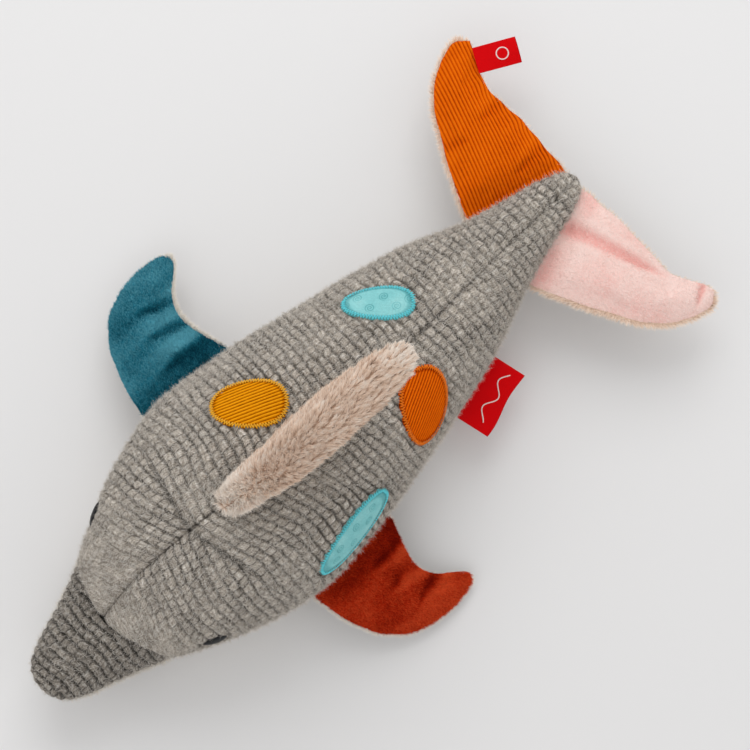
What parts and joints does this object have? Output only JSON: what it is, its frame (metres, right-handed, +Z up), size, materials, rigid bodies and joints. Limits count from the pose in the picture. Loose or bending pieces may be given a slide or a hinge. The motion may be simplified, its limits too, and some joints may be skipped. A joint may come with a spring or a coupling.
{
  "type": "plush dolphin",
  "caption": "Stuffed plush dolphin lying on its belly, with a quilted knit back, side fins, a furry dorsal fin, tail flukes, sewn-on patches and fold-over labels.",
  "frame": {"origin": "middle of the flattened belly, on the table the toy lies on", "axes": "+X from the nose to the tail, +Y towards the toy's right side, +Z up through the back"},
  "size_m": [0.4396, 0.2662, 0.1667],
  "materials": {
    "knit": "quilted",
    "belly_plush": "short pile",
    "stuffing": "loose fibre",
    "black_thread": "satin stitch",
    "mustard_corduroy": "ribbed",
    "aqua_velour": "velour",
    "orange_corduroy": "ribbed",
    "mustard_thread": "thread",
    "aqua_thread": "thread",
    "orange_thread": "thread",
    "beige_fur": "long pile",
    "teal_velour": "velour",
    "rust_velour": "velour",
    "pink_velour": "velour",
    "red_woven": "satin weave"
  },
  "bodies": {
    "body": {"side_panel_left": "knit", "side_panel_right": "knit", "belly_panel": "belly_plush", "snout_upper": "knit", "snout_lower": "belly_plush", "body_stuffing": "stuffing", "eye_left": "black_thread", "eye_right": "black_thread", "patch_mustard": "mustard_corduroy", "patch_aqua_right": "aqua_velour", "patch_orange": "orange_corduroy", "patch_aqua_left": "aqua_velour", "stitching_mustard": "mustard_thread", "stitching_aqua_right": "aqua_thread", "stitching_orange": "orange_thread", "stitching_aqua_left": "aqua_thread"},
    "dorsal_fin": {"dorsal_fin_left_skin": "beige_fur", "dorsal_fin_right_skin": "beige_fur", "dorsal_fin_stuffing": "stuffing"},
    "pectoral_right": {"pectoral_right_upper_skin": "teal_velour", "pectoral_right_lower_skin": "belly_plush", "pectoral_right_stuffing": "stuffing"},
    "pectoral_left": {"pectoral_left_upper_skin": "rust_velour", "pectoral_left_lower_skin": "belly_plush", "pectoral_left_stuffing": "stuffing"},
    "fluke_right": {"fluke_right_upper_skin": "orange_corduroy", "fluke_right_lower_skin": "beige_fur", "fluke_right_stuffing": "stuffing"},
    "fluke_left": {"fluke_left_upper_skin": "pink_velour", "fluke_left_lower_skin": "beige_fur", "fluke_left_stuffing": "stuffing"},
    "side_label": {"side_label": "red_woven"},
    "fluke_label": {"fluke_label": "red_woven"}
  },
  "joints": [
    {"name": "pectoral_right_flap", "type": "hinge", "parent": "body", "child": "pectoral_right", "pos_m": [-0.0325, 0.06805, 0.03392], "axis": [0.9983, -0.058, -0.0086], "range_deg": [-12, 45], "stiffness_Nm_per_rad": 0.05},
    {"name": "pectoral_left_flap", "type": "hinge", "parent": "body", "child": "pectoral_left", "pos_m": [-0.0325, -0.06805, 0.03392], "axis": [-0.9983, -0.058, 0.0086], "range_deg": [0, 55], "stiffness_Nm_per_rad": 0.05},
    {"name": "dorsal_fin_sway", "type": "hinge", "parent": "body", "child": "dorsal_fin", "pos_m": [-0.0185, 0, 0.11043], "axis": [0.998, 0, -0.063], "range_deg": [-25, 20], "stiffness_Nm_per_rad": 0.08},
    {"name": "fluke_right_flap", "type": "hinge", "parent": "body", "child": "fluke_right", "pos_m": [0.174, 0.01923, 0.04], "axis": [0.9723, -0.2339, 0], "range_deg": [-20, 35], "stiffness_Nm_per_rad": 0.06},
    {"name": "fluke_left_flap", "type": "hinge", "parent": "body", "child": "fluke_left", "pos_m": [0.174, -0.01923, 0.04], "axis": [-0.9723, -0.2339, 0], "range_deg": [-20, 35], "stiffness_Nm_per_rad": 0.06},
    {"name": "side_label_flip", "type": "hinge", "parent": "body", "child": "side_label", "pos_m": [0.085, -0.04532, 0.03068], "axis": [-0.9674, -0.2521, -0.025], "range_deg": [-45, 60], "stiffness_Nm_per_rad": 0.0006},
    {"name": "fluke_label_flip", "type": "hinge", "parent": "fluke_right", "child": "fluke_label", "pos_m": [0.21272, 0.08526, 0.04], "axis": [-0.4775, -0.8786, 0], "range_deg": [-60, 60], "stiffness_Nm_per_rad": 0.0006}
  ]
}
